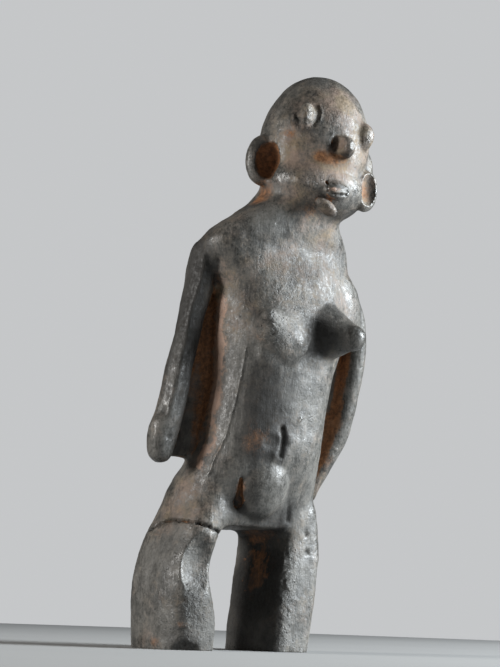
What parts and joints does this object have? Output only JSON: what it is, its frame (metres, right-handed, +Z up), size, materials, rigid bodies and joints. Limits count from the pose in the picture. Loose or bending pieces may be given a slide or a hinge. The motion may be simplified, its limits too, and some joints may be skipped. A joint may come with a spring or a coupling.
{
  "type": "terracotta figure",
  "caption": "Hand-modelled standing female figure of smoke-blackened fired clay, arms webbed to the flanks, legs worn off level below the thighs",
  "frame": {"origin": "on the ground under the middle of the figure's width and depth", "axes": "+Z up, the figure faces -Y, its own left hand is towards +X"},
  "size_m": [0.1708, 0.1276, 0.4],
  "materials": {
    "fired_clay": "smoke-blackened and burnished by hand, worn, with reddish earth in the recesses"
  },
  "bodies": {
    "root": {"figure": "fired_clay"}
  },
  "joints": []
}
